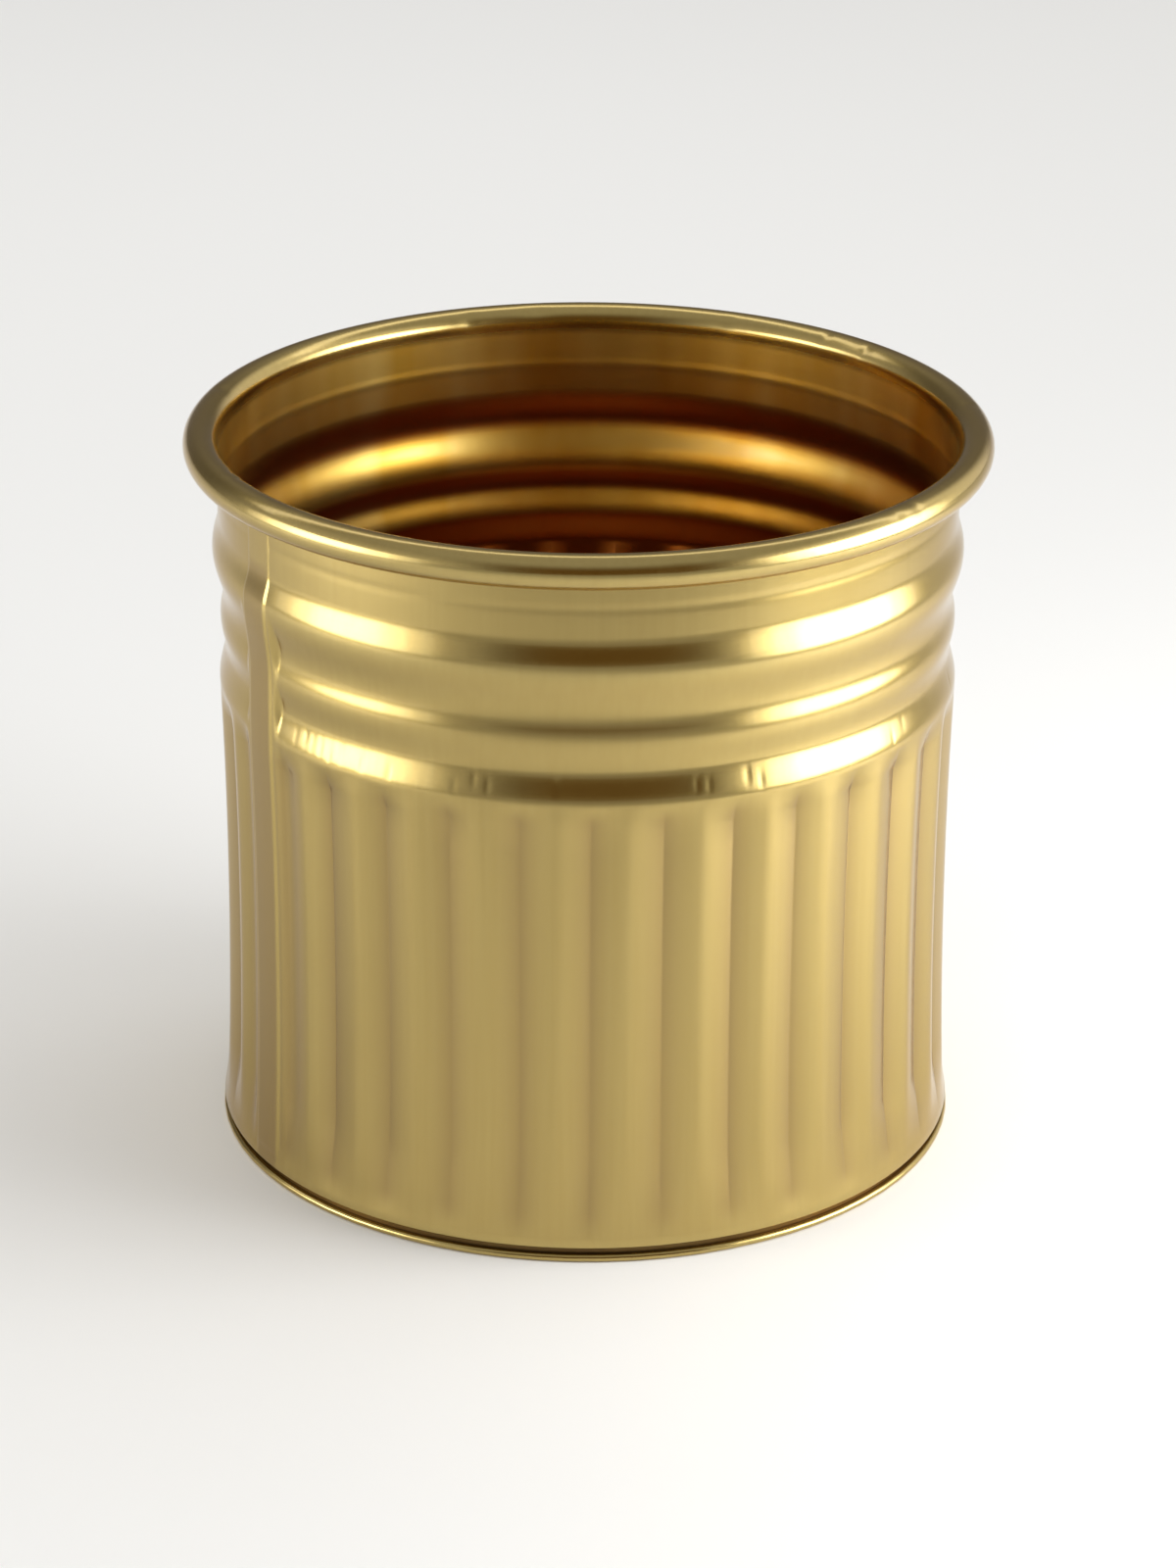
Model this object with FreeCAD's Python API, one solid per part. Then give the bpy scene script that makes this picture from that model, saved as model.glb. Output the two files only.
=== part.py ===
import FreeCAD, Part
import math
import os

# A round sheet-metal cachepot. Origin: centre of the foot, on the surface it stands on. +Z is up.
# The front faces -Y, and bearings are degrees round +Z from +X.

# Overall sizes, in millimetres
rim_diameter = 130.0
height = 120.0
sheet = 0.3

# Curled rim: a hollow tube rolled outwards from the neck, short of a full turn
curl_diameter = 5.6
curl_sweep = 325.0

# Beaded upper wall, told from the top down. Each radius is told from the neck's outer face.
neck_height = 14.4
bead_1_proud = 1.0
bead_1_upper_height = 5.6
bead_1_lower_height = 7.6
groove_1_depth = 0.6
bead_2_depth = 0.1
bead_2_upper_height = 4.0
bead_2_lower_height = 5.0
groove_2_depth = 0.85
shoulder_proud = 0.25
shoulder_slope_height = 5.4
bead_ease_share = 0.4
shoulder_ease_share = 0.25

# Fluted lower wall: upright ridges with flat flanks and rounded crests, which meet in sharp
# valleys. The crests draw in at mid height, and the ridges run out into plain circles at both ends.
flute_count = 33
flute_depth = 1.2
flute_crest_radius = 4.5
flute_waist_depth = 0.65
flute_top_runout = 2.5
flute_foot_runout = 2.2
flute_foot_proud = 0.65

# Upright lock seam, centred on one ridge. Four layers thick up to the neck, and one proud layer
# over the neck, where the corners of the sheet are notched for the curl.
seam_bearing = -149.2
seam_width = 8.0
seam_proud = 0.2
seam_layers = 4
seam_slack = 0.4
seam_top_gap = 0.3
seam_foot_gap = 0.3
overrun = 1.0

# Foot of the wall: it flares out, turns in over a groove and ends in a flange.
# Bend radii are those of the inside of each bend.
foot_proud = 1.1
foot_flare_proud = 0.85
foot_flare_height = 1.25
foot_bend_radius = 0.15
groove_height = 1.05
groove_depth = 1.1
groove_bend_radius = 0.2
flange_bend_radius = 0.1

# Base plate, folded over the flange in a thin hem
hem_proud = 1.3
hem_clearance = 0.1
compound_thickness = 0.175
panel_height = 2.5
panel_bend_radius = 0.8
plate_clearance = 0.1

# Places that follow from the sizes above
curl_radius = curl_diameter / 2
neck_face = rim_diameter / 2 - curl_diameter + sheet
curl_centre = (rim_diameter / 2 - curl_radius, height - curl_radius)
neck_z = height - neck_height
bead_1_z = neck_z - bead_1_upper_height
groove_1_z = bead_1_z - bead_1_lower_height
bead_2_z = groove_1_z - bead_2_upper_height
groove_2_z = bead_2_z - bead_2_lower_height
shoulder_z = groove_2_z - shoulder_slope_height
flange_top = sheet + compound_thickness + sheet
hem_height = flange_top + compound_thickness + sheet
hem_radius = neck_face + hem_proud
hem_bend_radius = hem_height / 2
hem_centre = (hem_radius - hem_bend_radius, hem_bend_radius)
groove_face = hem_radius - groove_depth
foot_edge_z = hem_height + groove_height
foot_flare_z = foot_edge_z + sheet + foot_bend_radius
flute_foot_z = foot_flare_z + foot_flare_height
flute_low_z = flute_foot_z + flute_foot_runout
flute_waist_z = (shoulder_z + flute_foot_z) / 2
seam_foot_z = panel_height + sheet + seam_foot_gap
seam_top_z = height - curl_diameter - seam_top_gap
seam_face = neck_face + seam_proud
seam_low_face = seam_face + flute_foot_proud
seam_bead_face = neck_face + bead_1_proud - sheet / 2
seam_thickness = seam_layers * sheet + seam_slack

FULL_TURN = 360.0
QUARTER_TURN = FULL_TURN / 4
ORIGIN = FreeCAD.Vector(0, 0, 0)
UP = FreeCAD.Vector(0, 0, 1)


def on_bearing(radius, degrees, z):
    """Point at a radius and bearing round the axis."""
    turn = math.radians(degrees)
    return FreeCAD.Vector(radius * math.cos(turn), radius * math.sin(turn), z)


def in_section(radius, z):
    """Point of an outline drawn in the XZ plane."""
    return FreeCAD.Vector(radius, 0, z)


def run(start, end):
    """Straight run of an outline."""
    return Part.LineSegment(in_section(*start), in_section(*end)).toShape()


def bend(centre, radius, start_degrees, end_degrees):
    """Round bend of an outline, told by its centre and two angles."""
    points = []
    for degrees in (start_degrees, (start_degrees + end_degrees) / 2, end_degrees):
        turn = math.radians(degrees)
        r = centre[0] + radius * math.cos(turn)
        z = centre[1] + radius * math.sin(turn)
        points.append(in_section(r, z))
    return Part.Arc(*points).toShape()


def swell(start, end, ease_share):
    """Smooth rise or fall of an outline that is upright at both ends."""
    ease = (end[1] - start[1]) * ease_share
    curve = Part.BezierCurve()
    curve.setPoles([
        in_section(start[0], start[1]),
        in_section(start[0], start[1] + ease),
        in_section(end[0], end[1] - ease),
        in_section(end[0], end[1]),
    ])
    return curve.toShape()


def ends(edges):
    """First and last point of an outline."""
    first = edges[0].valueAt(edges[0].FirstParameter)
    last = edges[-1].valueAt(edges[-1].LastParameter)
    return first, last


def spun_sheet(outline):
    """Sheet metal spun round the axis. The outline is drawn once for each face of the sheet."""
    front = outline(0)
    back = outline(sheet)
    caps = []
    for near, far in zip(ends(front), ends(back)):
        caps.append(Part.LineSegment(near, far).toShape())
    band = Part.Wire(Part.__sortEdges__(front + back + caps))
    return Part.Face(band).revolve(ORIGIN, UP, FULL_TURN)


def beads_and_rim(inset):
    """Outline of the upper wall: shoulder, two beads, plain neck and the rim curled outwards."""
    face = neck_face - inset
    shoulder = (face + shoulder_proud, shoulder_z)
    beads = [
        (face - groove_2_depth, groove_2_z),
        (face - bead_2_depth, bead_2_z),
        (face - groove_1_depth, groove_1_z),
        (face + bead_1_proud, bead_1_z),
        (face, neck_z),
    ]
    edges = [swell(shoulder, beads[0], shoulder_ease_share)]
    for low, high in zip(beads, beads[1:]):
        edges.append(swell(low, high, bead_ease_share))
    edges.append(run((face, neck_z), (face, curl_centre[1])))
    curl_end = FULL_TURN / 2 - curl_sweep
    edges.append(bend(curl_centre, curl_radius - sheet + inset, FULL_TURN / 2, curl_end))
    return edges


def foot_of_wall(inset):
    """Outline of the wall's foot: flange, groove, rounded edge and the flare above it."""
    face = groove_face - inset
    edge_face = neck_face + foot_proud - inset
    edge_radius = foot_bend_radius + sheet
    flange_z = flange_top - inset
    ledge_z = foot_edge_z + inset
    flange_centre = (groove_face + flange_bend_radius, flange_top + flange_bend_radius)
    groove_centre = (groove_face + groove_bend_radius, foot_edge_z - groove_bend_radius)
    edge_centre = (neck_face + foot_proud - edge_radius, foot_flare_z)
    flare_top = (neck_face + foot_flare_proud - inset, flute_foot_z)
    return [
        run((hem_centre[0], flange_z), (flange_centre[0], flange_z)),
        bend(flange_centre, flange_bend_radius + inset, -QUARTER_TURN, -2 * QUARTER_TURN),
        run((face, flange_centre[1]), (face, groove_centre[1])),
        bend(groove_centre, groove_bend_radius + inset, 2 * QUARTER_TURN, QUARTER_TURN),
        run((groove_centre[0], ledge_z), (edge_centre[0], ledge_z)),
        bend(edge_centre, edge_radius - inset, -QUARTER_TURN, 0),
        run((edge_face, foot_flare_z), flare_top),
    ]


def crest_edge(crest):
    """Where a ridge's flank meets its rounded crest: radius, and degrees from the middle."""
    half_pitch = math.radians(FULL_TURN / flute_count / 2)
    centre = crest - flute_crest_radius
    along = (crest - flute_depth) * math.cos(half_pitch) - centre
    across = (crest - flute_depth) * math.sin(half_pitch)
    spread = math.acos(flute_crest_radius / math.hypot(along, across))
    lean = math.atan2(across, along) - spread
    x = centre + flute_crest_radius * math.cos(lean)
    y = flute_crest_radius * math.sin(lean)
    return math.hypot(x, y), math.degrees(math.atan2(y, x))


def ridged_ring(crest, z):
    """Outline round the pot at one height: two flat flanks and a rounded crest to each ridge."""
    half_pitch = FULL_TURN / flute_count / 2
    edge_radius, edge_degrees = crest_edge(crest)
    edges = []
    for index in range(flute_count):
        middle = seam_bearing + index * FULL_TURN / flute_count
        valley = on_bearing(crest - flute_depth, middle - half_pitch, z)
        crest_start = on_bearing(edge_radius, middle - edge_degrees, z)
        crest_end = on_bearing(edge_radius, middle + edge_degrees, z)
        next_valley = on_bearing(crest - flute_depth, middle + half_pitch, z)
        edges.append(Part.LineSegment(valley, crest_start).toShape())
        edges.append(Part.Arc(crest_start, on_bearing(crest, middle, z), crest_end).toShape())
        edges.append(Part.LineSegment(crest_end, next_valley).toShape())
    return Part.Wire(edges)


def plain_ring(radius, z):
    """Circle round the pot at one height, split where a ridge's flanks and crest would meet."""
    half_pitch = FULL_TURN / flute_count / 2
    edge_degrees = crest_edge(radius)[1]
    stops = [-half_pitch, -edge_degrees, edge_degrees, half_pitch]
    edges = []
    for index in range(flute_count):
        middle = seam_bearing + index * FULL_TURN / flute_count
        for start, end in zip(stops, stops[1:]):
            edges.append(Part.Arc(
                on_bearing(radius, middle + start, z),
                on_bearing(radius, middle + (start + end) / 2, z),
                on_bearing(radius, middle + end, z),
            ).toShape())
    return Part.Wire(edges)


def ridged_core(inset):
    """Solid inside the fluted face. The ridges run out into plain circles at both ends."""
    face = neck_face - inset
    top_crest = face + shoulder_proud
    rings = [
        plain_ring(face + foot_flare_proud, flute_foot_z),
        ridged_ring(face + flute_foot_proud, flute_low_z),
        ridged_ring(top_crest - flute_waist_depth, flute_waist_z),
        ridged_ring(top_crest, shoulder_z - flute_top_runout),
        plain_ring(top_crest, shoulder_z),
    ]
    return Part.makeLoft(rings, True, True)


def seam_sector(corners):
    """Strip of the wall as wide as the seam, of the section that these corners give."""
    outline = [in_section(*corner) for corner in corners]
    section = Part.Face(Part.makePolygon(outline + outline[:1]))
    width_degrees = math.degrees(seam_width / neck_face)
    sector = section.revolve(ORIGIN, UP, width_degrees)
    sector.rotate(ORIGIN, UP, seam_bearing - width_degrees / 2)
    return sector


def seam_slot():
    """Room in the wall for the folded seam."""
    inner = seam_face - seam_thickness - overrun
    outer = neck_face + bead_1_proud + overrun
    return seam_sector([
        (inner, seam_foot_z),
        (outer, seam_foot_z),
        (outer, seam_top_z),
        (inner, seam_top_z),
    ])


def seam_fold():
    """Folded layers of the lock seam, thinner over the neck."""
    return seam_sector([
        (seam_low_face - seam_thickness, seam_foot_z),
        (neck_face + foot_proud, seam_foot_z),
        (seam_low_face, flute_low_z),
        (seam_face, flute_waist_z),
        (seam_face, groove_1_z),
        (seam_bead_face, bead_1_z),
        (seam_face, neck_z),
        (seam_face, seam_top_z),
        (neck_face - sheet, seam_top_z),
        (neck_face - sheet, neck_z),
        (seam_face - seam_thickness, neck_z),
        (seam_face - seam_thickness, flute_waist_z),
        (seam_low_face - seam_thickness, flute_low_z),
    ])


def rolled_wall():
    """The wall: one sheet with its rim, beads, flutes, seam and foot."""
    flutes = ridged_core(0).cut(ridged_core(sheet))
    wall = spun_sheet(foot_of_wall).fuse([flutes, spun_sheet(beads_and_rim)])
    return wall.cut(seam_slot()).fuse(seam_fold())


def plate_with_hem(inset):
    """Outline of the base plate: raised panel, upright wall, foot ring and the hem folded over."""
    panel_edge = groove_face - 2 * sheet - plate_clearance
    panel_z = panel_height + inset
    wall_face = panel_edge + inset
    hem_top = hem_height - inset
    panel_centre = (panel_edge - panel_bend_radius, panel_height - panel_bend_radius)
    return [
        run((0, panel_z), (panel_centre[0], panel_z)),
        bend(panel_centre, panel_bend_radius + inset, QUARTER_TURN, 0),
        run((wall_face, panel_centre[1]), (wall_face, inset)),
        run((wall_face, inset), (hem_centre[0], inset)),
        bend(hem_centre, hem_bend_radius - inset, -QUARTER_TURN, QUARTER_TURN),
        run((hem_centre[0], hem_top), (groove_face + hem_clearance, hem_top)),
    ]


def compound_ring():
    """Sealing compound, laid in the hem between the base plate and the wall's flange."""
    inner = groove_face - sheet + hem_clearance
    seat = FreeCAD.Vector(0, 0, sheet)
    ring = Part.makeCylinder(hem_centre[0], compound_thickness, seat)
    return ring.cut(Part.makeCylinder(inner, compound_thickness, seat))


def solid_of(shape):
    """The single solid of a finished piece."""
    if len(shape.Solids) != 1:
        raise ValueError("a piece came out as %d solids" % len(shape.Solids))
    return shape.Solids[0]


os.makedirs("parts", exist_ok=True)
for name, shape in (
    ("rolled_wall", rolled_wall()),
    ("base_plate", spun_sheet(plate_with_hem)),
    ("seam_compound", compound_ring()),
):
    solid_of(shape).exportStep("parts/" + name + ".step")
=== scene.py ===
import math

import bmesh
import bpy
import numpy as np
from mathutils import Matrix, Vector


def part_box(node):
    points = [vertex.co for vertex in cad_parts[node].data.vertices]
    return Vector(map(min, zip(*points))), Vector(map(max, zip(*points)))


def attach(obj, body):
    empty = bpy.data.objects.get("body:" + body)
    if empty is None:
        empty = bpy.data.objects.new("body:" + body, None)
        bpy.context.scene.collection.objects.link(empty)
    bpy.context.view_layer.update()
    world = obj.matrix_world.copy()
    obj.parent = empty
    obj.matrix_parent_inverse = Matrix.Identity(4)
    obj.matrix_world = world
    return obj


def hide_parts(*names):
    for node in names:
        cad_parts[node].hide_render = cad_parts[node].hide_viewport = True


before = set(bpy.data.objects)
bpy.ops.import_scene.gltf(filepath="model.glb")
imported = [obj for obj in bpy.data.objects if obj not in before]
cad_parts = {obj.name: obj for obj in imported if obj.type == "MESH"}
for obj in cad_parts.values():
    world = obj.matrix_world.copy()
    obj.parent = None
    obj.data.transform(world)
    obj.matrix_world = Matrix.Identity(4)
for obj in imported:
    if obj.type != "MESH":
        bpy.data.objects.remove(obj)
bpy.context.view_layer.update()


# Rolled wall. One sheet of thin tinned steel with a satin gold lacquer, rolled round and locked to
# itself in an upright seam at the front left. Its rim is curled outwards, and its two beads, its
# flutes and the flange that the base plate grips are all formed in the same sheet.
wall_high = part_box("rolled_wall")[1]
rim_radius = wall_high.x
height = wall_high.z
sheet = 0.0003

curl_radius = 0.0028
curl_sweep = math.radians(325)
neck_radius = rim_radius - 2 * curl_radius + sheet
curl_centre = (rim_radius - curl_radius, height - curl_radius)
neck_z = 0.1056

bead_stops = (
    (neck_radius + 0.00025, 0.0780),
    (neck_radius - 0.00085, 0.0834),
    (neck_radius - 0.00010, 0.0884),
    (neck_radius - 0.00060, 0.0924),
    (neck_radius + 0.00100, 0.1000),
    (neck_radius, neck_z),
)
shoulder_z = bead_stops[0][1]
shoulder_ease_share = 0.25
bead_ease_share = 0.4
swell_steps = 12
neck_crease_z = 0.1101
neck_crease_depth = 0.00005
neck_crease_reach = 0.0007
neck_top_heights = [0.1132, 0.1153, 0.1168]

flute_count = 33
flute_pitch = 2 * math.pi / flute_count
flute_depth = 0.0012
flute_crest_share = 0.2
flute_top_z = 0.0776
flute_foot_z = 0.0040
flute_top_reach = 0.0040
flute_foot_reach = 0.0115
waist_radius = neck_radius - 0.00020
waist_z = 0.047
waist_rise_up = 0.00045
waist_rise_down = 0.00085
waist_reach_up = 0.028
waist_reach_down = 0.041
waist_power = 2.2

seam_bearing = math.radians(-149.2)
seam_half_width = 0.0040
seam_proud = 0.00025
seam_neck_proud = 0.00012
seam_fold_radius = 0.0010
seam_thickness = 0.0016
seam_flatten_below = 0.003
seam_flatten_height = 0.004
bead_fade_length = 0.0014
flute_fade_length = 0.0034

foot_radius = neck_radius + 0.0011
flare_radius = neck_radius + 0.00085
flare_z = 0.0040
flare_height = 0.0024
foot_edge_z = 0.0023
foot_bend = 0.00045
groove_radius = 0.0599
groove_bend = 0.0002
flange_bend = 0.0001
flange_top = 0.000775
flange_tip_radius = 0.060375

unevenness = 0.00003
unevenness_reach = 0.05
dent_spread = 0.5

chance = np.random.default_rng(7)


def smooth_step(x):
    """0 below 0, 1 above 1, and an even rise between them."""
    x = np.clip(x, 0.0, 1.0)
    return x * x * (3 - 2 * x)


def nearness(value, centre, reach):
    """1 where a value meets this centre, falling away smoothly on both sides of it."""
    return np.exp(-((value - centre) / reach) ** 2)


def turn_from(start, bearing):
    """Turn from one bearing to another, half a turn at most either way."""
    return (bearing - start + math.pi) % (2 * math.pi) - math.pi


def arc(centre, radius, start, end, steps):
    """Points (radius, z) of a round bend, told by two angles in degrees."""
    turn = np.radians(np.linspace(start, end, steps + 1))
    return [(centre[0] + radius * c, centre[1] + radius * s) for c, s in zip(np.cos(turn), np.sin(turn))]


def swell(start, end, ease_share, steps):
    """Points of a smooth rise or fall that is upright at both ends."""
    t = (1 - np.cos(np.linspace(0, math.pi, steps + 1))) / 2
    ease = (end[1] - start[1]) * ease_share
    near = (1 - t) ** 3 + 3 * t * (1 - t) ** 2
    far = t ** 3 + 3 * t ** 2 * (1 - t)
    r = start[0] * near + end[0] * far
    z = start[1] * near + end[1] * far + ease * 3 * t * (1 - t) * (1 - 2 * t)
    return list(zip(r, z))


def crest_line(z):
    """Radius of the flutes' crests, which draw in at the waist."""
    up = waist_rise_up * np.clip((z - waist_z) / waist_reach_up, 0, 1) ** 2
    down = waist_rise_down * np.clip((waist_z - z) / waist_reach_down, 0, None) ** waist_power
    return waist_radius + up + down


def ridge_drop(bearing):
    """How far the face lies below the crest, as a share of the flutes' depth."""
    turn = (bearing - seam_bearing) / flute_pitch + 0.5
    index = np.floor(turn).astype(int) % flute_count
    across = 2 * (turn - np.floor(turn)) - 1
    across = across - ridge_lean[index] * (1 - across * across)
    soft = np.sqrt(across * across + flute_crest_share ** 2) - flute_crest_share
    return ridge_reach[index] * soft / (math.sqrt(1 + flute_crest_share ** 2) - flute_crest_share)


def pressed(z):
    """Share of the flutes' full depth here. They run out slowly at the foot, faster at the top."""
    from_top = np.clip((flute_top_z - z) / flute_top_reach, 0, 1)
    from_foot = np.clip((z - flute_foot_z) / flute_foot_reach, 0, 1)
    return from_top * from_foot


def waver(bearing, z, reach):
    """Slight waviness of rolled sheet, between about -1 and 1."""
    total = np.zeros(np.broadcast(bearing, z).shape)
    for turns, share, phase, climb in waver_terms:
        total = total + share * np.sin(turns * bearing + phase + climb * z / reach)
    return total


ridge_lean = chance.uniform(-0.05, 0.05, flute_count)
ridge_reach = chance.uniform(0.95, 1.0, flute_count)
waver_terms = [
    (turns, 0.3 / (1 + turns / 12), chance.uniform(0, 2 * math.pi), chance.uniform(-2, 2))
    for turns in (2, 3, 5, 7, 11, 14, 19, 26)
]
shoulder_mark_reach = 0.0005
shoulder_mark_tall = 0.0012
shoulder_mark_z = (0.0797, 0.0815)
shoulder_mark_depth = (0.00003, 0.00008)
shoulder_marks = [
    (math.radians(degrees - 90), chance.uniform(*shoulder_mark_z), chance.uniform(*shoulder_mark_depth))
    for degrees in (
        -49.9, -47.6, -45.9, -44.1, -42.1, -39.7, -35.7, -30.8, -20.0, -17.0,
        -14.8, -4.5, 16.5, 18.4, 24.6, 26.8, 53.6, 56.7, 78.0, 101.5,
        127.2, 131.0, 163.4, 188.0, 192.3, 214.5, 239.8, 246.1, 268.3,
    )
]


def profile(stops, first_ease_share):
    """Radii and heights of the swells that join these stops, from the shoulder up."""
    points = []
    for low, high in zip(stops, stops[1:]):
        ease_share = first_ease_share if low is stops[0] else bead_ease_share
        points += swell(low, high, ease_share, swell_steps)[:-1]
    return np.array(points + [stops[-1]]).T


bead_r, bead_z = profile(bead_stops, shoulder_ease_share)
plain_stops = (bead_stops[0], (neck_radius + 0.0001, bead_stops[2][1]), bead_stops[4], bead_stops[5])
plain_r, plain_z = profile(plain_stops, bead_ease_share)


def strip_face(z):
    """Radius of the lock seam's outer face."""
    sheet_below = crest_line(z) if z < shoulder_z else np.interp(z, plain_z, plain_r)
    above_beads = smooth_step((z - neck_z + seam_flatten_below) / seam_flatten_height)
    return sheet_below + seam_proud + (seam_neck_proud - seam_proud) * above_beads


def wall_radius(bearing, z, inside):
    """Radius of the wall's outer face, or of its inner one, between the foot and the curl."""
    beyond = np.abs(turn_from(seam_bearing, bearing)) * neck_radius - seam_half_width
    flared = smooth_step((flare_z + flare_height - z) / flare_height)
    ridges = crest_line(z) + flared * (flare_radius - crest_line(flare_z))
    drop = ridge_drop(bearing) * smooth_step(beyond / flute_fade_length)
    ridges = ridges - flute_depth * pressed(z) * drop

    beaded = np.sin(np.clip(beyond / bead_fade_length, 0, 1) * math.pi / 2) ** 2
    beads = np.interp(z, bead_z, bead_r)
    plain = np.interp(z, plain_z, plain_r)
    beads = plain + (beads - plain) * beaded
    beads = beads - neck_crease_depth * nearness(z, neck_crease_z, neck_crease_reach)
    for mark, mark_z, mark_depth in shoulder_marks:
        across = nearness(turn_from(mark, bearing) * neck_radius, 0.0, shoulder_mark_reach)
        beads = beads - mark_depth * across * nearness(z, mark_z, shoulder_mark_tall)

    radius = np.where(z < shoulder_z, ridges, beads)
    radius = radius + unevenness * waver(bearing, z, unevenness_reach)
    if inside:
        back = strip_face(min(z, neck_z)) - seam_thickness
        over_neck = radius - sheet
        folded = np.where(z < neck_z, back, over_neck)
        return np.where(beyond < 0, folded, radius - sheet)
    fold = np.clip((beyond + seam_fold_radius) / seam_fold_radius, 0, 1)
    strip = strip_face(z) - seam_fold_radius * (1 - np.sqrt(1 - fold * fold))
    return np.where((beyond < 0) & (z > flare_z), np.maximum(strip, radius), radius)


def wall_bearings():
    """Bearings of the mesh's columns, closer at crests and valleys and at the seam's edges."""
    half_ridge = np.array([0.0, 0.1, 0.22, 0.36, 0.52, 0.7, 0.86, 0.97])
    across = np.concatenate([-half_ridge[:0:-1], half_ridge, [1.0]])
    bearings = []
    for index in range(1, flute_count):
        bearings += list(seam_bearing + flute_pitch * (index + across / 2))
    on_strip = np.array([0.0, 0.0014, 0.0026])
    on_fold = seam_half_width - np.linspace(seam_fold_radius, 0.0001, 10)
    past_edge = seam_half_width + np.array([0.0, 0.0001, 0.0003, 0.0006, 0.0009, 0.0012, 0.0015, 0.0018])
    offsets = np.concatenate([on_strip, on_fold, past_edge]) / neck_radius
    bearings += list(seam_bearing + offsets) + list(seam_bearing - offsets[1:])
    for mark, _, _ in shoulder_marks:
        bearings += list(mark + shoulder_mark_reach * np.linspace(-1.6, 1.6, 5) / neck_radius)
    turns = np.sort(np.round(np.array(bearings) % (2 * math.pi), 6))
    return turns[np.concatenate([[True], np.diff(turns) > 1e-5])]


def foot_path(inset):
    """Points of the foot from the flange's tip up to the flare, on the outer face or inside it."""
    face = groove_radius - inset
    flange_z = flange_top - inset
    ledge_z = foot_edge_z + inset
    flange_centre = (groove_radius + flange_bend, flange_top + flange_bend)
    groove_centre = (groove_radius + groove_bend, foot_edge_z - groove_bend)
    edge_centre = (foot_radius - foot_bend, foot_edge_z + foot_bend)
    path = [(flange_tip_radius, flange_z)]
    path += arc(flange_centre, flange_bend + inset, -90, -180, 4)
    path += arc(groove_centre, groove_bend + inset, 180, 90, 5)
    path += arc(edge_centre, foot_bend - inset, -90, 0, 7)
    return path


def dented(bearing, around, radius):
    """Radius of the curl's tube, with the small dents that handling left along it."""
    dent = np.zeros_like(bearing)
    for where, angle, depth, reach in curl_dents:
        along = nearness(turn_from(where, bearing) * rim_radius, 0.0, reach)
        dent = dent + depth * along * nearness(around, angle, dent_spread)
    return radius - dent


curl_dents = [
    (math.radians(degrees - 90), math.radians(angle), depth, reach)
    for degrees, angle, depth, reach in (
        (-66.0, 130, 0.00012, 0.0012), (-62.0, 118, 0.00010, 0.0009), (52.0, 60, 0.00010, 0.0010),
        (47.5, 48, 0.00008, 0.0008), (-160.0, 140, 0.00014, 0.0011), (-171.0, 130, 0.00016, 0.0030),
        (156.0, 135, 0.00012, 0.0012), (139.0, 120, 0.00012, 0.0010), (130.0, 128, 0.00010, 0.0011),
        (-104.0, 100, 0.00010, 0.0016), (98.0, 90, 0.00008, 0.0014), (12.0, 20, 0.00006, 0.0020),
    )
]


def wall_rows(bearings, inside):
    """Rows of points from the flange up to the curl's end, on one face of the sheet."""
    inset = sheet if inside else 0.0
    rows = []
    for r, z in foot_path(inset):
        rows.append((np.full_like(bearings, r), np.full_like(bearings, z)))
    heights = list(np.linspace(flute_foot_z, flute_foot_z + flute_foot_reach, 12))
    heights += list(np.linspace(heights[-1], flute_top_z - flute_top_reach, 16))[1:-1]
    heights += list(np.linspace(flute_top_z - flute_top_reach, flute_top_z, 12))
    heights += list(bead_z)
    creased = neck_crease_z + neck_crease_reach * np.linspace(-2, 2, 9)
    heights += [(neck_z + creased[0]) / 2] + list(creased) + neck_top_heights
    for z in heights:
        rows.append((wall_radius(bearings, z, inside), np.full_like(bearings, z)))
    tube = curl_radius - sheet + inset
    for around in np.linspace(math.pi, math.pi - curl_sweep, 41):
        size = dented(bearings, around, tube)
        r = curl_centre[0] + size * math.cos(around)
        z = curl_centre[1] + size * math.sin(around)
        rows.append((r, z))
    return rows


def mesh_of_rows(name, rows, bearings, closed):
    """Mesh whose rows run round the axis, joined into a loop where the section is closed."""
    points = []
    for r, z in rows:
        points.append(np.stack([r * np.cos(bearings), r * np.sin(bearings), z], axis=1))
    count = len(bearings)
    row_count = len(rows)
    row = np.arange(row_count if closed else row_count - 1)[:, None]
    column = np.arange(count)[None, :]
    above = (row + 1) % row_count
    beside = (column + 1) % count
    faces = np.stack([
        row * count + column,
        row * count + beside,
        above * count + beside,
        above * count + column,
    ], axis=-1).reshape(-1, 4)
    mesh = bpy.data.meshes.new(name)
    mesh.from_pydata(np.concatenate(points).tolist(), [], faces.tolist())
    shape = bmesh.new()
    shape.from_mesh(mesh)
    bmesh.ops.remove_doubles(shape, verts=shape.verts, dist=1e-7)
    bmesh.ops.recalc_face_normals(shape, faces=shape.faces)
    shape.to_mesh(mesh)
    shape.free()
    mesh.shade_smooth()
    mesh.set_sharp_from_angle(angle=math.radians(55))
    piece = bpy.data.objects.new(name, mesh)
    bpy.context.scene.collection.objects.link(piece)
    return piece


class Value:
    """An output of a material's node. Sums and products of these add their Math nodes."""

    def __init__(self, finish, output):
        self.finish = finish
        self.output = output

    def math(self, operation, first, second):
        return self.finish.add("ShaderNodeMath", {"operation": operation}, {0: first, 1: second})

    def __add__(self, other):
        return self.math("ADD", self, other)

    def __radd__(self, other):
        return self.math("ADD", other, self)

    def __sub__(self, other):
        return self.math("SUBTRACT", self, other)

    def __rsub__(self, other):
        return self.math("SUBTRACT", other, self)

    def __mul__(self, other):
        return self.math("MULTIPLY", self, other)

    def __rmul__(self, other):
        return self.math("MULTIPLY", other, self)


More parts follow.
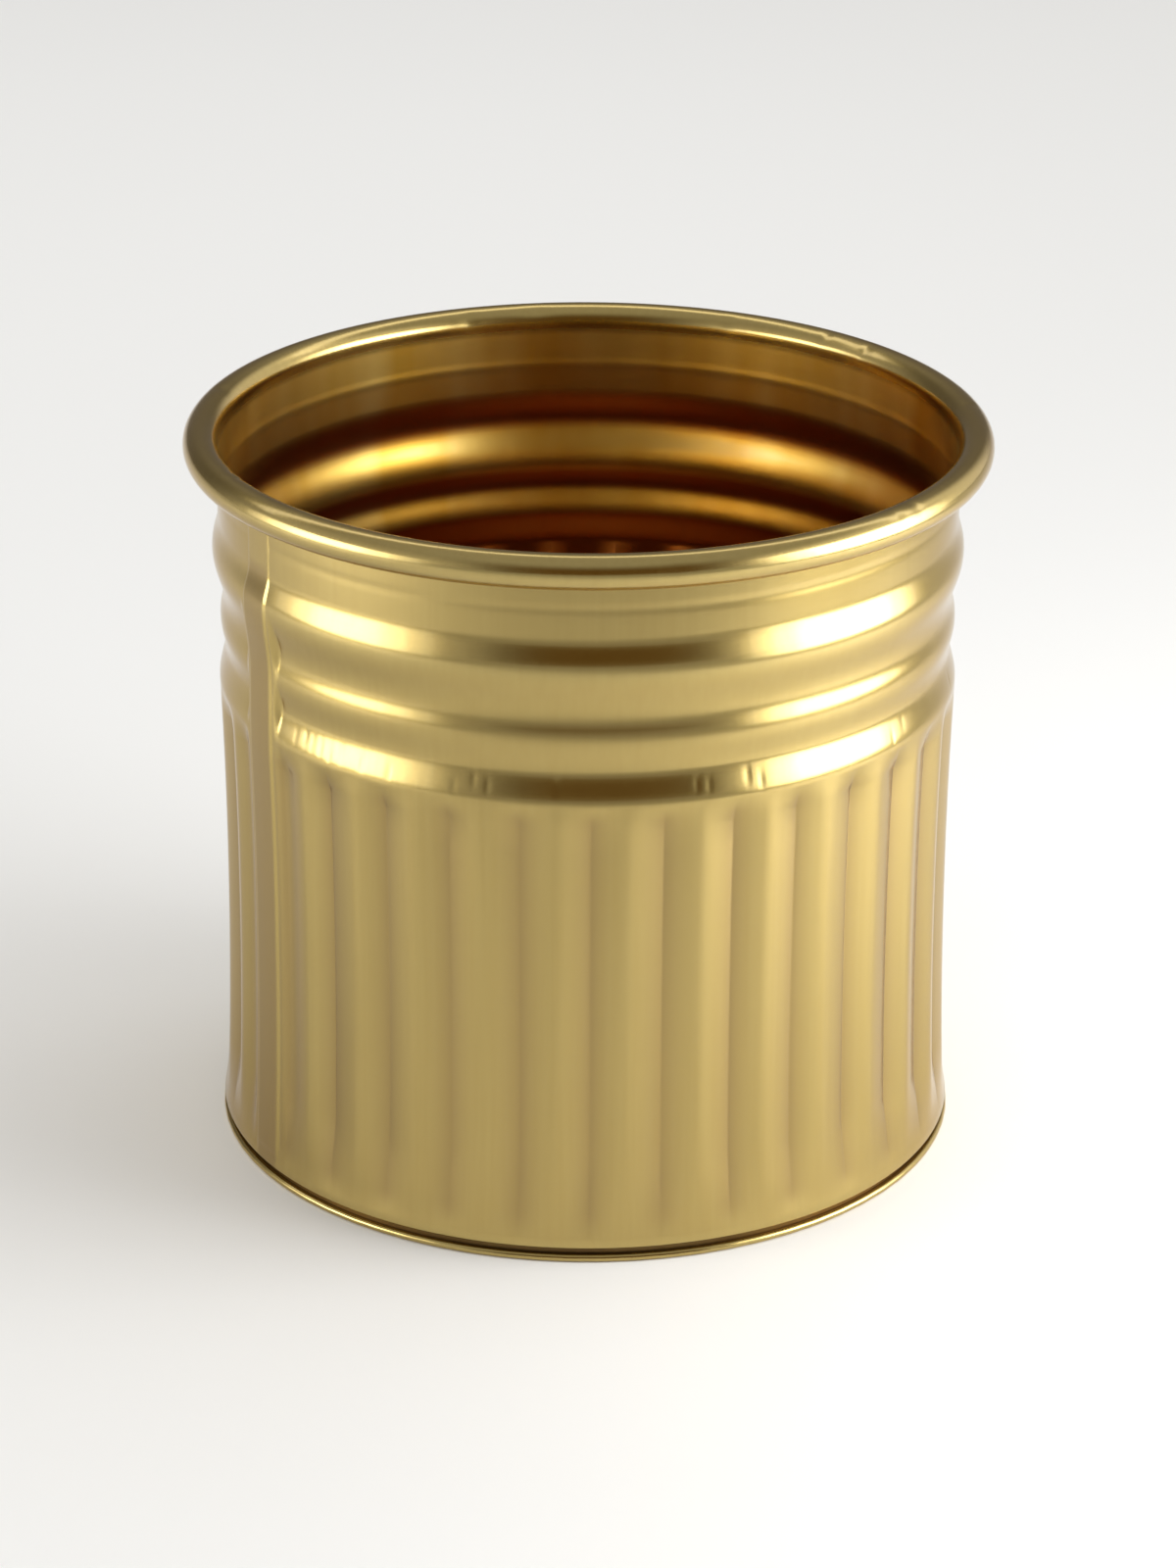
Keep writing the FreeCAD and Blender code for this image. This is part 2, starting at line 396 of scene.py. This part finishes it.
class Finish:
    """A material, or the room's light, under construction."""

    def __init__(self, kept_as, shader):
        self.kept_as = kept_as
        kept_as.use_nodes = True
        self.nodes = kept_as.node_tree.nodes
        self.links = kept_as.node_tree.links
        self.shader = self.nodes[shader]

    def add(self, kind, settings, sockets, output=0):
        """Adds a node of this kind and gives the output asked for."""
        node = self.nodes.new(kind)
        for name, value in settings.items():
            setattr(node, name, value)
        self.plug(node, sockets)
        return Value(self, node.outputs[output])

    def plug(self, node, sockets):
        """Sets or links a node's sockets, by name, identifier or place."""
        for key, value in sockets.items():
            if isinstance(key, int):
                socket = node.inputs[key]
            else:
                socket = next(s for s in node.inputs if key in (s.identifier, s.name))
            if isinstance(value, Value):
                self.links.new(value.output, socket)
            else:
                socket.default_value = value

    def noise(self, where, scale, detail):
        return self.add("ShaderNodeTexNoise", {}, {"Vector": where, "Scale": scale, "Detail": detail})

    def stretched(self, where, amounts):
        return self.add("ShaderNodeVectorMath", {"operation": "MULTIPLY"}, {0: where, 1: amounts})

    def blend(self, share, first, second):
        return self.add(
            "ShaderNodeMix",
            {"data_type": "RGBA"},
            {"Factor_Float": share, "A_Color": first, "B_Color": second},
            output=2,
        )


def gold_lacquer(name, gold, pale_gold, shade_brown, deep_gold, olive_gold, inside_shade_red, edge_gold,
                 grime_and_shade, roughness):
    """Satin gold lacquer over tinned steel, with faint upright lines, fine grain and rubbed crests.
    It is deeper inside. Painted shade browns it in the flute valleys and on the seam strip, turns it
    almost red low inside and in bands there, and darkens the groove, with grime."""
    finish = Finish(bpy.data.materials.new(name), "Principled BSDF")
    where = finish.add("ShaderNodeTexCoord", {}, {}, output=3)
    clouds = finish.noise(where, 55.0, 3.0)
    streaks = finish.noise(finish.stretched(where, (1.0, 1.0, 0.02)), 950.0, 2.0)
    grain = finish.noise(where, 2600.0, 1.0)
    rubbed, within, inside_shade, valley_strip_shade, groove_grime_and_shade = (
        finish.add("ShaderNodeAttribute", {"attribute_name": amount}, {}, output=2)
        for amount in ("rubbed", "within", "inside_shade", "valley_strip_shade", "groove_grime_and_shade")
    )
    paler = clouds * 0.2 + streaks * 0.4 - 0.05 + rubbed * (0.25 + 0.5 * grain)
    colour = finish.blend(paler, (*gold, 1.0), (*pale_gold, 1.0))
    # Painted shade: browner in the flute valleys and on the seam strip.
    colour = finish.blend(valley_strip_shade * (0.7 + 0.6 * streaks), colour, (*shade_brown, 1.0))
    blotches = finish.noise(finish.stretched(where, (1.0, 1.0, 0.25)), 70.0, 2.0)
    inside_gold = finish.blend(blotches * 3.2 - 1.1, (*deep_gold, 1.0), (*olive_gold, 1.0))
    colour = finish.blend(within, colour, inside_gold)
    # Painted shade: almost red low inside and in bands, for dark reflections and shade.
    colour = finish.blend(inside_shade, colour, (*inside_shade_red, 1.0))
    # Painted shade with grime: darker in the groove under the foot and on the hem's ledge.
    colour = finish.blend(groove_grime_and_shade * (0.6 + 0.4 * clouds), colour, (*grime_and_shade, 1.0))
    rough = roughness + 0.04 * clouds + 0.02 * grain - 0.02 * rubbed + 0.2 * groove_grime_and_shade + 0.12 * within
    bump = finish.add(
        "ShaderNodeBump",
        {},
        {"Strength": 1.0, "Distance": 0.000006, "Height": streaks * 0.8 + grain * 0.2},
    )
    finish.plug(finish.shader, {
        "Base Color": colour,
        "Metallic": 1.0,
        "Roughness": rough,
        "Normal": bump,
        "Specular Tint": (*edge_gold, 1.0),
        "Coat Weight": 0.7 - 0.6 * groove_grime_and_shade,
        "Coat Roughness": 0.12,
        "Coat IOR": 1.5,
    })
    return finish.kept_as


def record_on(piece, name, amounts):
    """Stores one number for each point of the mesh, for the finish to read."""
    layer = piece.data.attributes.new(name, "FLOAT", "POINT")
    layer.data.foreach_set("value", np.clip(amounts, 0, 1))


gold = (0.415, 0.296, 0.086)
pale_gold = (0.52, 0.40, 0.14)
# Brown for the flute valleys and the seam strip: painted shade.
shade_brown = (0.24, 0.145, 0.05)
deep_gold = (0.72, 0.44, 0.07)
olive_gold = (0.88, 0.66, 0.20)
# Deep red for the inside: painted shade and painted dark reflections.
inside_shade_red = (0.30, 0.035, 0.012)
edge_gold = (0.78, 0.66, 0.52)
# Dark colour for the groove and the hem's ledge: painted shade, with grime.
grime_and_shade = (0.10, 0.05, 0.02)
satin_gold = gold_lacquer(
    "satin_gold_lacquer", gold, pale_gold, shade_brown, deep_gold, olive_gold, inside_shade_red, edge_gold,
    grime_and_shade, 0.19)

bearings = wall_bearings()
outer_rows = wall_rows(bearings, False)
inner_rows = wall_rows(bearings, True)
rolled_wall = mesh_of_rows("rolled_wall_formed", outer_rows + inner_rows[::-1], bearings, True)

points = np.zeros(len(rolled_wall.data.vertices) * 3)
rolled_wall.data.vertices.foreach_get("co", points)
points = points.reshape(-1, 3)
from_axis = np.hypot(points[:, 0], points[:, 1])
at_height = points[:, 2]
bead_rub_reach = 0.0012
curl_rub_reach = 0.0009
foot_rub_reach = 0.0006
outside = from_axis > neck_radius
on_bead = nearness(at_height, bead_stops[4][1], bead_rub_reach) * outside
on_curl = nearness(from_axis, rim_radius, curl_rub_reach)
on_foot = nearness(at_height, foot_edge_z + foot_bend, foot_rub_reach) * outside
record_on(rolled_wall, "rubbed", on_bead * 0.5 + on_curl * 0.5 + on_foot * 0.6)

facing_in = np.array([
    vertex.normal.x * vertex.co.x + vertex.normal.y * vertex.co.y < 0
    for vertex in rolled_wall.data.vertices
])
curl_blend = 0.002
record_on(rolled_wall, "within", facing_in * smooth_step((curl_centre[1] - at_height) / curl_blend))

around_axis = np.arctan2(points[:, 1], points[:, 0])
beside_seam = np.abs(turn_from(seam_bearing, around_axis)) * neck_radius
valley_foot_blend = 0.004
valley_top_blend = 0.003
strip_edge = 0.0008
strip_blend = 0.0004
# Painted shade: the flute valleys and the seam strip are browned to darken them.
valley_shade = ridge_drop(around_axis) ** 2 * (beside_seam > seam_half_width)
valley_shade = valley_shade * smooth_step((at_height - flute_foot_z) / valley_foot_blend)
valley_shade = valley_shade * smooth_step((flute_top_z - at_height) / valley_top_blend)
on_strip = smooth_step((seam_half_width - strip_edge - beside_seam) / strip_blend) * (at_height < neck_z)
record_on(rolled_wall, "valley_strip_shade", 0.5 * valley_shade + 0.45 * on_strip)

# Painted shade: the inside turns deep red below the shoulder and in three bands above it, standing in
# for dark reflections and shade.
inside_shade_top_z = 0.0842
inside_shade_blend = 0.0016
inside_shade_amount = 0.8 * smooth_step((inside_shade_top_z - at_height) / inside_shade_blend)
for shade_band_z, shade_band_half_height, shade_band_share in (
    (0.1016, 0.0030, 0.85), (0.0893, 0.0018, 0.85), (0.1070, 0.0028, 0.35),
):
    inside_shade_amount = inside_shade_amount + shade_band_share * np.exp(-np.abs((at_height - shade_band_z) / shade_band_half_height) ** 6)
record_on(rolled_wall, "inside_shade", facing_in * inside_shade_amount)

# Painted shade with grime: the groove under the wall's foot is darkened.
groove_top_z = foot_edge_z + 0.0001
groove_mouth_radius = foot_radius - 0.0003
groove_shade_rise = 0.0003
groove_shade_reach = 0.0004
groove_shade = smooth_step((groove_top_z - at_height) / groove_shade_rise)
groove_shade = groove_shade * smooth_step((groove_mouth_radius - from_axis) / groove_shade_reach)
record_on(rolled_wall, "groove_grime_and_shade", groove_shade)
rolled_wall.data.materials.append(satin_gold)
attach(rolled_wall, "root")
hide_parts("rolled_wall")


# Base plate. A disc of the same lacquered sheet, pressed so that its panel stands clear of the
# table. Its edge is rolled up and over the wall's flange in a thin hem, on which the pot stands.
plate_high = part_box("base_plate")[1]
hem_radius = plate_high.x
panel_z = plate_high.z - sheet
hem_height = 0.00125
hem_centre = (hem_radius - hem_height / 2, hem_height / 2)
hem_tip_radius = groove_radius + 0.0001
panel_edge = groove_radius - 2 * sheet - 0.0001
panel_bend = 0.0008
panel_rings = (0.0, 0.012, 0.026, 0.040, 0.050, 0.056)
skirt_z = 0.0010
hem_root_rise = 0.0002
hem_root_step = 0.00015
hem_pucker = 0.00003
hem_pucker_turns = 71
hem_pucker_reach = 0.0005
hem_unevenness = 0.00002


def plate_path(inset):
    """Points of the base plate from its centre out to the hem's tip, on one face of the sheet."""
    corner = (panel_edge - panel_bend, panel_z - panel_bend)
    path = [(r, panel_z + inset) for r in panel_rings]
    path += arc(corner, panel_bend + inset, 90, 0, 7)
    path += [(panel_edge + inset, skirt_z), (panel_edge + inset, inset + hem_root_rise)]
    path += [(panel_edge + inset + hem_root_step, inset)]
    path += arc(hem_centre, hem_height / 2 - inset, -90, 90, 14)
    path += [(hem_tip_radius, hem_height - inset)]
    return path


def plate_rows(bearings, inset):
    """Rows of the base plate, with the slight puckers of a rolled hem."""
    rows = []
    for r, z in plate_path(inset):
        near_hem = nearness(r, hem_radius, hem_pucker_reach)
        pucker = hem_pucker * (1 + np.sin(hem_pucker_turns * bearings)) / 2
        uneven = hem_unevenness * (1 + waver(bearings, 0.0, 1.0))
        rows.append((r - near_hem * (pucker + uneven), np.full_like(bearings, z)))
    return rows


plate_bearings = np.linspace(0, 2 * math.pi, 480, endpoint=False)
plate_sides = plate_rows(plate_bearings, 0.0) + plate_rows(plate_bearings, sheet)[::-1]
base_plate = mesh_of_rows("base_plate_hemmed", plate_sides, plate_bearings, False)
plate_points = np.array([vertex.co for vertex in base_plate.data.vertices])
plate_reach = np.hypot(plate_points[:, 0], plate_points[:, 1])
plate_heights = plate_points[:, 2]
hem_rub_reach = 0.0002
ledge_edge = 0.0004
within_from_z = hem_height + 0.0002
record_on(base_plate, "rubbed", 0.7 * nearness(plate_reach, hem_radius, hem_rub_reach))
record_on(base_plate, "within", (plate_heights > within_from_z) * (plate_reach < panel_edge))
# Painted shade with grime: the hem's ledge beside the groove is darkened.
ledge_shade = smooth_step((hem_radius - ledge_edge - plate_reach) / ledge_edge)
ledge_shade = ledge_shade * (plate_reach > panel_edge + sheet)
record_on(base_plate, "groove_grime_and_shade", ledge_shade * (plate_heights > hem_height / 2))
base_plate.data.materials.append(satin_gold)
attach(base_plate, "root")
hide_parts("base_plate")


# Seam compound. A thin ring of cured sealing compound, squeezed between the base plate and the
# wall's flange when the hem is rolled shut. It doesn't show on the finished pot.
compound = Finish(bpy.data.materials.new("sealing_compound"), "Principled BSDF")
where = compound.add("ShaderNodeTexCoord", {}, {}, output=3)
lumps = compound.noise(where, 900.0, 3.0)
compound.plug(compound.shader, {
    "Base Color": compound.blend(lumps, (0.30, 0.28, 0.25, 1.0), (0.40, 0.38, 0.34, 1.0)),
    "Roughness": 0.75 + 0.2 * lumps,
    "Normal": compound.add("ShaderNodeBump", {}, {"Distance": 0.00005, "Height": lumps}),
})
seam_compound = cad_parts["seam_compound"]
seam_compound.data.materials.clear()
seam_compound.data.materials.append(compound.kept_as)


# Table top, a plain white board.
table = bpy.data.objects.new("table_top", bpy.data.meshes.new("table_top"))
bpy.context.scene.collection.objects.link(table)
table_reach = 12.0
table.data.from_pydata([
    (-table_reach, -table_reach, 0.0),
    (table_reach, -table_reach, 0.0),
    (table_reach, table_reach, 0.0),
    (-table_reach, table_reach, 0.0),
], [], [(0, 1, 2, 3)])
board = Finish(bpy.data.materials.new("white_board"), "Principled BSDF")
where = board.add("ShaderNodeTexCoord", {}, {}, output=3)
shades = board.noise(where, 3.0, 2.0)
board.plug(board.shader, {
    "Base Color": board.blend(shades, (0.89, 0.89, 0.88, 1.0), (0.91, 0.91, 0.90, 1.0)),
    "Roughness": 0.7,
    "Specular IOR Level": 0.2,
})
table.data.materials.append(board.kept_as)


# Studio light: upright soft panels at the right and at the left, and a white room that is dark
# and warm only in front, where the camera stands.
def soft_panel(name, place, facing, width, tall, radiance):
    """Rectangular soft light at a place, shining the way it faces."""
    light = bpy.data.lights.new(name, "AREA")
    light.shape = "RECTANGLE"
    light.size = width
    light.size_y = tall
    light.energy = radiance * math.pi * width * tall
    panel = bpy.data.objects.new(name, light)
    turn = Vector(facing).to_track_quat("-Z", "Y").to_matrix().to_4x4()
    panel.matrix_world = Matrix.Translation(place) @ turn
    panel.visible_camera = False
    bpy.context.scene.collection.objects.link(panel)


panel_tall = 0.24
panel_foot = 0.035
for side, azimuth, distance, layers in (
    ("right", 76.0, 0.33, ((0.20, 3.8), (0.30, 3.0), (0.40, 1.6))),
    ("left", -72.0, 0.52, ((0.22, 2.7), (0.38, 1.9), (0.56, 1.1))),
):
    turn = math.radians(azimuth)
    outward = Vector((math.sin(turn), -math.cos(turn), 0.0))
    for step, (width, radiance) in enumerate(layers):
        place = outward * (distance + 0.002 * step) + Vector((0.0, 0.0, panel_foot + panel_tall / 2))
        soft_panel(f"panel_{side}_{step + 1}", place, -outward, width, panel_tall, radiance)
soft_panel("panel_far_table", (0.0, 0.45, 0.80), (0.0, 0.6, -0.8), width=2.0, tall=0.5, radiance=1.6)

room = Finish(bpy.data.worlds.new("white_room"), "Background")
towards = room.add("ShaderNodeTexCoord", {}, {}, output=0)


def share_of(direction):
    """How far the light's direction points this way, from 1 to -1."""
    sockets = {0: towards, 1: direction}
    return room.add("ShaderNodeVectorMath", {"operation": "DOT_PRODUCT"}, sockets, output=1)


def fades(value, start, end):
    """1 at start and beyond it, falling evenly to 0 at end."""
    return room.add(
        "ShaderNodeMapRange",
        {"interpolation_type": "SMOOTHSTEP"},
        {"Value": value, "From Min": end, "From Max": start, "To Min": 0.0, "To Max": 1.0},
    )


across = share_of((0.99, 0.12, 0.0))
ahead = share_of((0.0, -1.0, 0.0))
upward = share_of((0.0, 0.0, 1.0))
in_front = fades(across, 0.28, 0.62) * fades(across * -1.0, 0.28, 0.62) * fades(ahead, 0.6, 0.2)
in_front = in_front * fades(upward, 0.35, 0.90)
low = fades(upward, 0.60, 0.85)
left_behind = fades(ahead * -1.0, 0.7, 0.1) * fades(across * -1.0, 0.6, 0.1)
high = fades(upward, 0.95, 0.3)
walls = room.blend(high, (0.21, 0.20, 0.185, 1.0), (0.52, 0.52, 0.52, 1.0))
walls = room.blend(fades(across * -1.0, 0.75, 0.45) * low, walls, (0.60, 0.59, 0.57, 1.0))
walls = room.blend(fades(across, 0.75, 0.45) * low, walls, (1.08, 1.08, 1.06, 1.0))
walls = room.blend(left_behind, walls, (0.16, 0.15, 0.14, 1.0))
room.plug(room.shader, {
    "Color": room.blend(in_front, walls, (0.16, 0.09, 0.02, 1.0)),
    "Strength": 1.0,
})
bpy.context.scene.world = room.kept_as
bpy.context.scene.view_settings.view_transform = "Standard"


# Camera, at the photograph's height and distance in front of the pot.
camera_place = Vector((0.0, -0.7609, 0.3783))
camera_aim = Vector((0.0, 0.0, 0.0566))
camera_roll = math.radians(0.3)
frame_width = 1200
frame_height = 1600
principal_x = 598.75
camera = bpy.data.objects.new("camera", bpy.data.cameras.new("camera"))
camera.data.sensor_fit = "VERTICAL"
camera.data.sensor_height = 36.0
camera.data.lens = 114.84
camera.data.shift_x = (frame_width / 2 - principal_x) / frame_height
look = (camera_aim - camera_place).to_track_quat("-Z", "Y").to_matrix().to_4x4()
camera.matrix_world = Matrix.Translation(camera_place) @ look @ Matrix.Rotation(camera_roll, 4, "Z")
bpy.context.scene.collection.objects.link(camera)
bpy.context.scene.camera = camera
